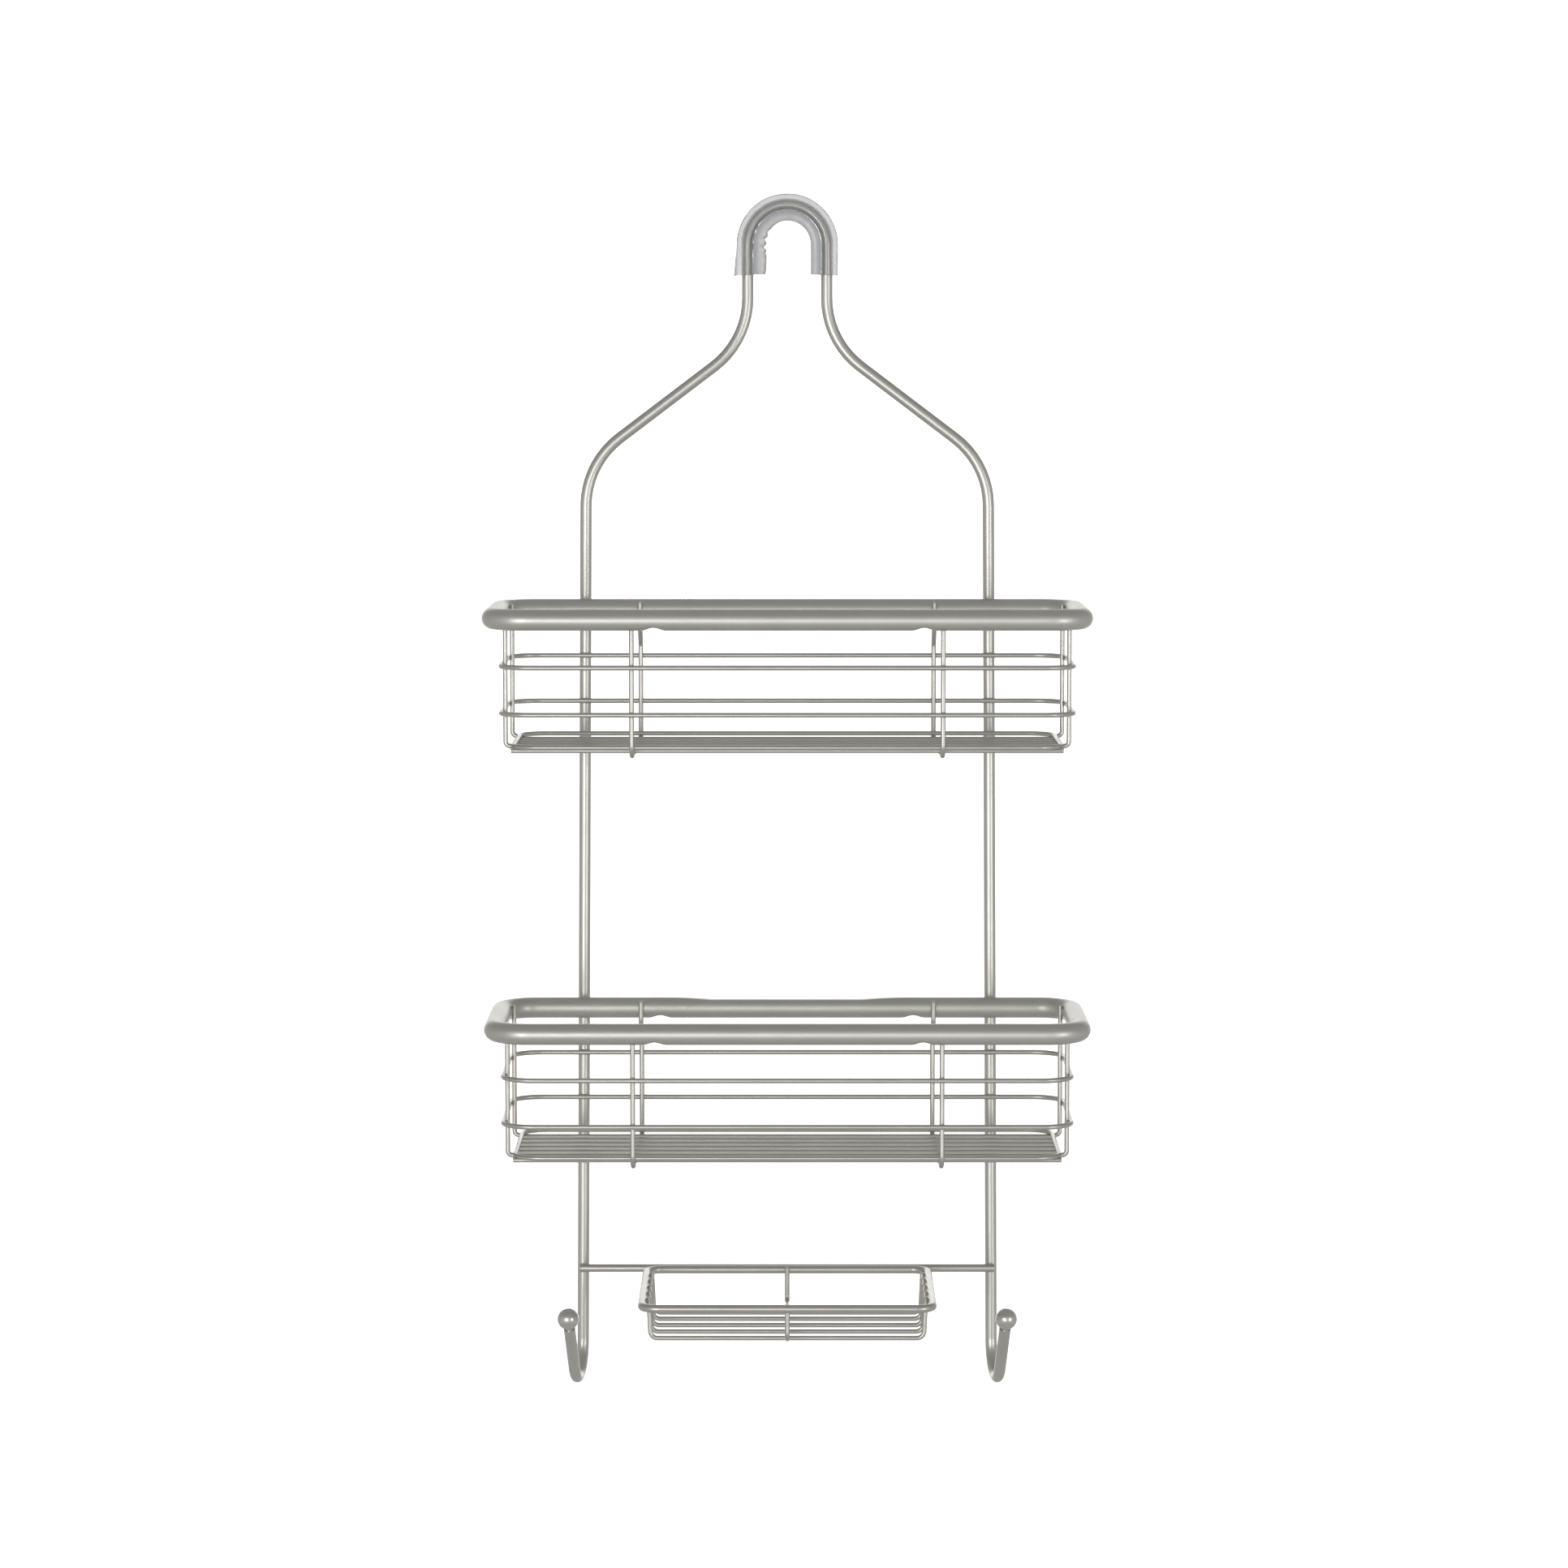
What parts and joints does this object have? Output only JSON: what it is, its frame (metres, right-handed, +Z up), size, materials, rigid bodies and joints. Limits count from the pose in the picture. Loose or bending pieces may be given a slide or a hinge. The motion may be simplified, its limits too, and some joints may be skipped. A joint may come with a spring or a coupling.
{
  "type": "shower caddy",
  "caption": "Hanging shower caddy: a bent rod frame that hooks over a shower arm and carries wire baskets, a small soap dish and towel hooks.",
  "frame": {"origin": "centre of the hanging loop, on the axis of the shower arm it sits on", "axes": "+Z up; +X to the right seen from the front; the baskets stand out towards -Y, the wall is on the +Y side"},
  "size_m": [0.313, 0.1226, 0.6313],
  "materials": {
    "rod": "satin nickel plated steel rod",
    "tube": "satin nickel plated steel tube",
    "wire": "satin nickel plated steel wire, welded",
    "ball": "satin nickel plated ball",
    "sleeve": "clear soft vinyl"
  },
  "bodies": {
    "root": {"main_frame": "rod", "grip_sleeve": "sleeve", "left_hook_ball": "ball", "right_hook_ball": "ball", "upper_rim": "tube", "lower_rim": "tube", "upper_top_hoop": "wire", "lower_top_hoop": "wire", "upper_bottom_hoop": "wire", "lower_bottom_hoop": "wire", "upper_front_left_leg": "wire", "upper_front_right_leg": "wire", "upper_rear_left_leg": "wire", "upper_rear_right_leg": "wire", "lower_front_left_leg": "wire", "lower_front_right_leg": "wire", "lower_rear_left_leg": "wire", "lower_rear_right_leg": "wire", "upper_floor_frame": "wire", "lower_floor_frame": "wire", "upper_floor_wire_1": "wire", "upper_floor_wire_2": "wire", "upper_floor_wire_3": "wire", "upper_floor_wire_4": "wire", "upper_floor_wire_5": "wire", "upper_floor_wire_6": "wire", "upper_floor_wire_7": "wire", "lower_floor_wire_1": "wire", "lower_floor_wire_2": "wire", "lower_floor_wire_3": "wire", "lower_floor_wire_4": "wire", "lower_floor_wire_5": "wire", "lower_floor_wire_6": "wire", "lower_floor_wire_7": "wire", "upper_left_cross_wire": "wire", "upper_right_cross_wire": "wire", "lower_left_cross_wire": "wire", "lower_right_cross_wire": "wire", "crossbar": "wire", "dish_rim": "wire", "dish_wire_1": "wire", "dish_wire_2": "wire", "dish_wire_3": "wire", "dish_wire_4": "wire", "dish_wire_5": "wire", "dish_cross_wire": "wire"}
  },
  "joints": []
}
